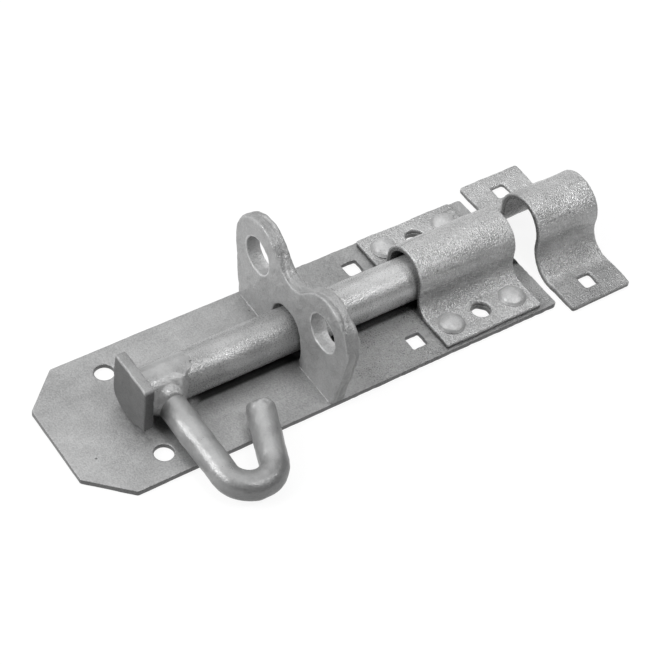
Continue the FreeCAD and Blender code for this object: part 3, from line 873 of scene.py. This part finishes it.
def weldShell(size):
    rows, cols = size["grid"]
    u, v = np.meshgrid(np.linspace(0, 1, rows), np.linspace(0, 1, cols), indexing="ij")
    x0, x1 = size["ends"]
    x = x0 + (x1 - x0) * v
    low, high = np.radians(size["angles"])
    angle = low + (high - low) * u
    degrees = np.degrees(angle)
    flatPlace = np.column_stack([x.ravel(), (angle * size["unroll"]).ravel(), np.zeros(rows * cols)])

    # height times a lump field over the unrolled coat
    def lumps(height, width, seed):
        return height * lumpField(flatPlace, width, seed).reshape(rows, cols)

    slant = size["slant"] * (1 - ease(degrees, *size["slantAngles"]))
    inside = x1 - size["frontierInset"] - slant + lumps(*size["frontierLumps"]) - x
    above = ease(degrees, *size["aboveAngles"])
    least, more = size["featherShares"]
    first, second = (lumps(*layer) for layer in size["coatLumps"])
    coat = (size["coat"] + first + second) * ease(inside, 0, size["feather"] * (least + more * above))
    lip = size["lip"] * np.exp(-((inside - size["lipFrom"]) / size["lipWidth"]) ** 2)
    lip = lip * np.maximum(size["lipMean"] + lumps(*size["lipLumps"]), 0) * (1 - size["lipAbove"] * above)
    turned = angle - math.radians(size["legAngle"])
    near = np.hypot(x - size["legX"], (size["base"] + 1) * np.sin(turned)) - size["legRadius"]
    collar = size["collar"] * (1 - ease(near, *size["collarFade"])) * (np.cos(turned) > 0)
    rim = np.sqrt(np.clip(np.minimum(u, 1 - u) * size["rimSharp"], 0, 1))
    height = (coat + lip) * rim + collar
    for px, pa in size["dents"]:
        apart = (x - px) ** 2 + (size["dentArm"] * (angle - math.radians(pa))) ** 2
        height = height - size["dentDepth"] * np.exp(-apart / size["dentRadius"] ** 2)

    # points round the bolt: less the cosine across it, and the sine above its line
    def around(radius):
        return np.column_stack([x.ravel(), (-radius * np.cos(angle)).ravel(),
                                (size["axisZ"] + radius * np.sin(angle)).ravel()])

    outer = size["base"] + np.maximum(height, size["least"])
    points = np.vstack([around(outer), around(np.full_like(outer, size["base"]))])
    quads = gridQuads(rows, cols)
    n = rows * cols
    index = np.arange(n).reshape(rows, cols)
    rimLine = np.concatenate([index[0, :-1], index[:-1, -1], index[-1, :0:-1], index[:0:-1, 0]])
    ahead = np.roll(rimLine, -1)
    wall = np.column_stack([rimLine, rimLine + n, ahead + n, ahead])
    return facingOut(points, np.vstack([quads, quads[:, ::-1] + n, wall]), np.zeros((0, 3), int))


addPiece("weld_metal", weldShell(weld), weldZinc, "handle", "handle")


# Stop plate: a flat plate whose far side follows the bolt's round.
stopPlate = {
    "face": -72.2, "thick": 4.1, "axisZ": 11.5, "near": 13.4, "top": 16.4, "far": 8.0,
    "heel": 4.5, "round": 8.8, "edge": 0.75, "net": 1.1, "step": 0.4, "corner": 1.1,
    "topTimes": 1.6, "lumps": [(7, 0.06, 91), (3, 0.03, 92)]}


def stopPlateShell(size):
    # line from a corner that touches the round: its normal is at the touching angle
    def touchLine(px, py, sign):
        angle = math.atan2(py, px) + sign * math.acos(size["round"] / math.hypot(px, py))
        return np.array([math.cos(angle), math.sin(angle)])

    near, heel, top, far = -size["near"], -size["heel"], size["top"], size["far"]
    lines = np.vstack([touchLine(far, top, -1), touchLine(near, heel, 1)])
    meet = np.linalg.solve(lines, [size["round"]] * 2)
    topCorner = size["corner"] * size["topTimes"]
    outer = roundedLoop([tuple(meet), (far, top), (near, top), (near, heel)],
                        [size["round"], topCorner, topCorner, size["corner"]], size["step"])
    shell, _ = sheetShell(outer, [], size, lambda p: np.column_stack([size["face"] + p[:, 2], p[:, 0],
                                                                      size["axisZ"] + p[:, 1]]))
    return roughened(shell, size["lumps"])


addPiece("stop_plate_steel", stopPlateShell(stopPlate), stopZinc, "handle", "stop_plate")


# Stage: a pale floor that stays white to the camera and keeps the shadow.
stage = {"half": 6.0, "white": 0.90, "floorGrey": 0.11, "height": -0.0003}


def makeFloor(size):
    corners = [(i * size["half"], j * size["half"], size["height"])
               for i, j in ((-1, -1), (1, -1), (1, 1), (-1, 1))]
    mesh = bpy.data.meshes.new("floor")
    mesh.from_pydata(corners, [], [(0, 1, 2, 3)])
    floor = bpy.data.objects.new("floor", mesh)
    bpy.context.scene.collection.objects.link(floor)
    mat = bpy.data.materials.new("floor_pale")
    mat.use_nodes = True
    tree = mat.node_tree
    tree.nodes.clear()
    path = addNode(tree, "LightPath", {}).outputs
    inputs = {0: path["Is Camera Ray"], 1: path["Is Glossy Ray"]}
    shown = addNode(tree, "Math", inputs, operation="MAXIMUM").outputs["Value"]
    matt = addNode(tree, "BsdfDiffuse", {"Color": (size["floorGrey"],) * 3 + (1,)}).outputs["BSDF"]
    glow = addNode(tree, "Emission", {"Strength": size["white"]}).outputs["Emission"]
    both = addNode(tree, "AddShader", {0: matt, 1: glow}).outputs["Shader"]
    mix = addNode(tree, "MixShader", {"Fac": shown, 1: matt, 2: both}).outputs["Shader"]
    addNode(tree, "OutputMaterial", {"Surface": mix})
    mesh.materials.append(mat)


makeFloor(stage)

# Light: a soft dome and round panels, each with its heading, distance and width in metres, and power.
light = {
    "around": 0.04, "dome": 2.12, "domeFall": 5.0, "domeFrom": (0.05, 0.46, 0.88),
    "panels": {"left_panel": ((-0.75, 0.15, 0.64), 1.1, 0.60, 7.3),
               "front_panel": ((0.10, -0.40, 0.90), 1.1, 0.24, 3.0),
               "right_panel": ((0.52, -0.46, 0.72), 1.1, 0.22, 2.0)}}


def makeLight(size):
    world = bpy.data.worlds.new("studio")
    bpy.context.scene.world = world
    world.use_nodes = True
    tree = world.node_tree
    shade = tree.nodes["Background"].inputs
    # the dome's strength falls off as a power of the cosine from its middle
    heading = addNode(tree, "TexCoord", {}).outputs["Generated"]
    inputs = {0: heading, 1: size["domeFrom"]}
    value = addNode(tree, "VectorMath", inputs, operation="DOT_PRODUCT").outputs["Value"]
    for operation, number in (("MAXIMUM", 0.0), ("POWER", size["domeFall"]),
                              ("MULTIPLY", size["dome"]), ("ADD", size["around"])):
        value = addNode(tree, "Math", {0: value, 1: number}, operation=operation).outputs["Value"]
    tree.links.new(value, shade["Strength"])
    shade["Color"].default_value = (1, 1, 1, 1)
    for name, (aim, distance, width, power) in size["panels"].items():
        lamp = bpy.data.lights.new(name, "AREA")
        lamp.shape = "DISK"
        lamp.size = width
        lamp.energy = power
        panel = bpy.data.objects.new(name, lamp)
        bpy.context.scene.collection.objects.link(panel)
        panel.location = np.array(aim) / np.linalg.norm(aim) * distance
        panel.rotation_euler = panel.location.to_track_quat("Z", "Y").to_euler()


makeLight(light)

# Camera: place in metres, turn in degrees, lens and sensor in millimetres.
view = {
    "place": (-0.308628, -0.399062, 0.562658), "turn": (42.1323, -5.2390, -33.6581),
    "lens": 109.563, "sensor": 36.0, "shift": (-0.00518, 0.00117), "clip": 0.01}


def makeCamera(size):
    data = bpy.data.cameras.new("camera")
    data.sensor_width = size["sensor"]
    data.lens = size["lens"]
    data.shift_x, data.shift_y = size["shift"]
    data.clip_start = size["clip"]
    camera = bpy.data.objects.new("camera", data)
    bpy.context.scene.collection.objects.link(camera)
    camera.location = size["place"]
    camera.rotation_euler = Euler([math.radians(a) for a in size["turn"]], "XYZ")
    bpy.context.scene.camera = camera


makeCamera(view)
bpy.context.scene.view_settings.view_transform = "Standard"
print("stage, light and camera set")
